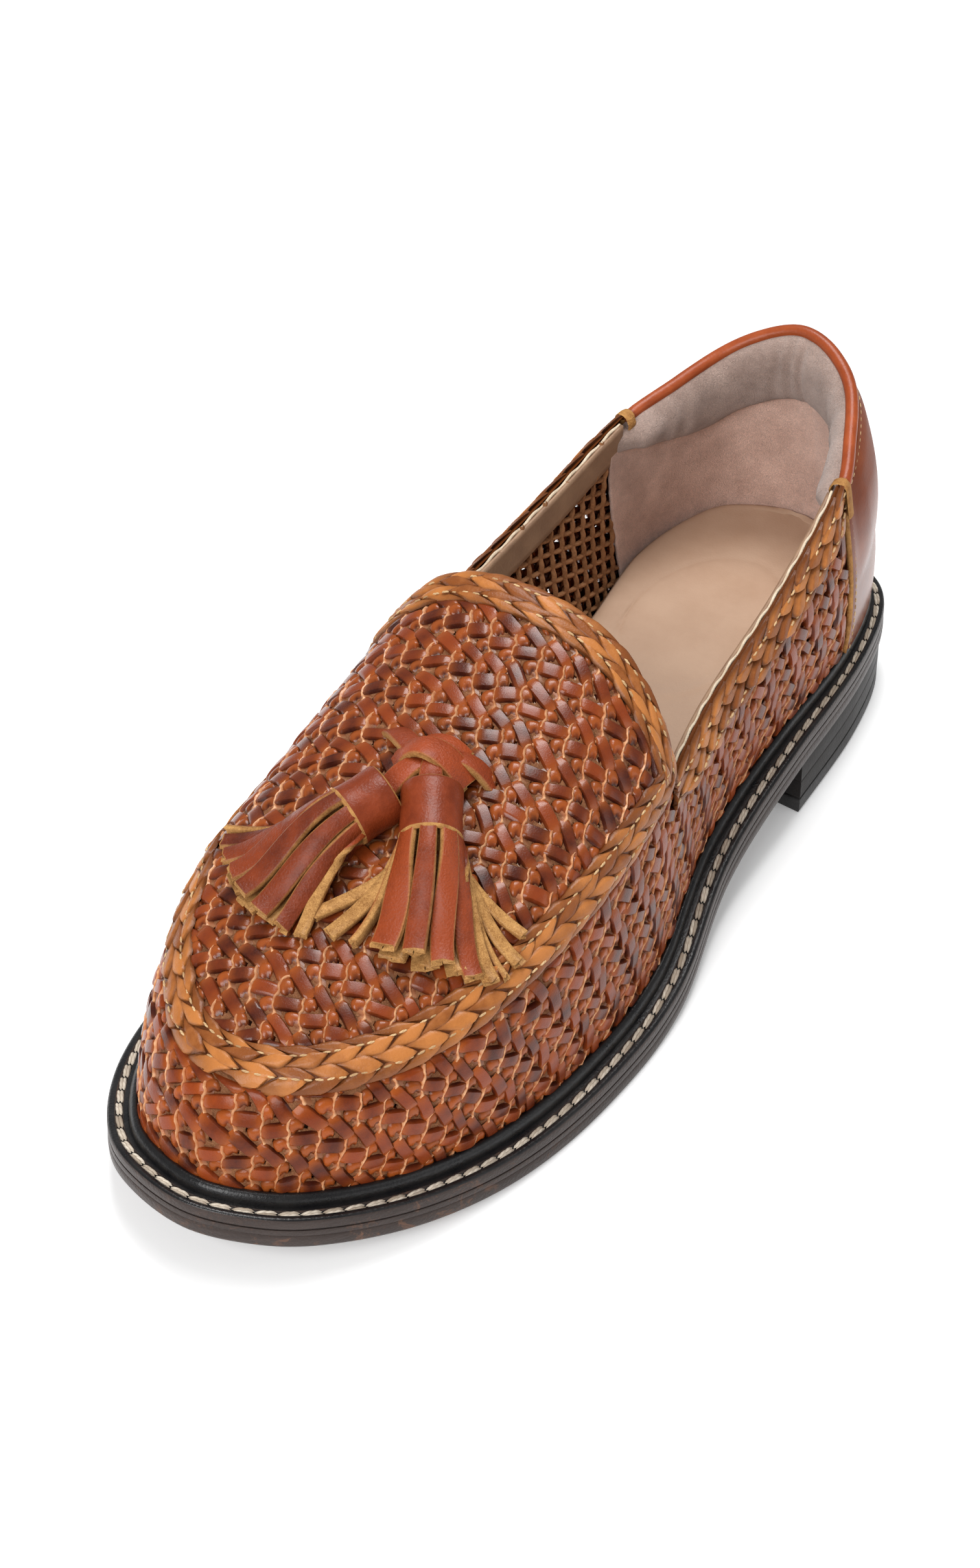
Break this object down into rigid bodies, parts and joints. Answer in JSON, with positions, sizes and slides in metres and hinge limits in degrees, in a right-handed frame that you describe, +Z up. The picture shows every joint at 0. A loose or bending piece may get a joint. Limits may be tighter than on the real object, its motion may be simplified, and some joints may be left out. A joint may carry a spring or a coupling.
{
  "type": "woven tassel loafer",
  "caption": "Left slip-on loafer of woven leather with a plaited apron seam, tassels, stitched welt, leather sole and stacked heel.",
  "frame": {"origin": "on the floor under the middle of the sole's length and width", "axes": "+Z up, toe toward -Y, heel toward +Y, the shoe's outer side on +X"},
  "size_m": [0.0974, 0.27, 0.0889],
  "materials": {
    "sole_leather": "burnished dark brown edge, satin",
    "heel_stack": "burnished dark brown stack, satin",
    "heel_lift": "matt black",
    "welt_leather": "black, satin, cream stitches",
    "insole_leather": "undyed nude leather, matt",
    "woven_leather": "glazed chestnut laces, glossy, with pale cut edges",
    "counter_leather": "glazed brown, glossy",
    "piping_leather": "orange brown, satin",
    "plaited_leather": "caramel, satin",
    "tassel_leather": "smooth chestnut face, tan suede back"
  },
  "bodies": {
    "root": {"outsole": "sole_leather", "heel": "heel_stack", "heel_lift": "heel_lift", "welt": "welt_leather", "insole": "insole_leather", "upper": "woven_leather", "counter": "counter_leather", "collar_piping": "piping_leather", "apron_braid": "plaited_leather", "topline_braid_lateral": "plaited_leather", "topline_braid_medial": "plaited_leather", "tassel_tie": "tassel_leather", "tassel_lateral": "tassel_leather", "tassel_medial": "tassel_leather"}
  },
  "joints": []
}
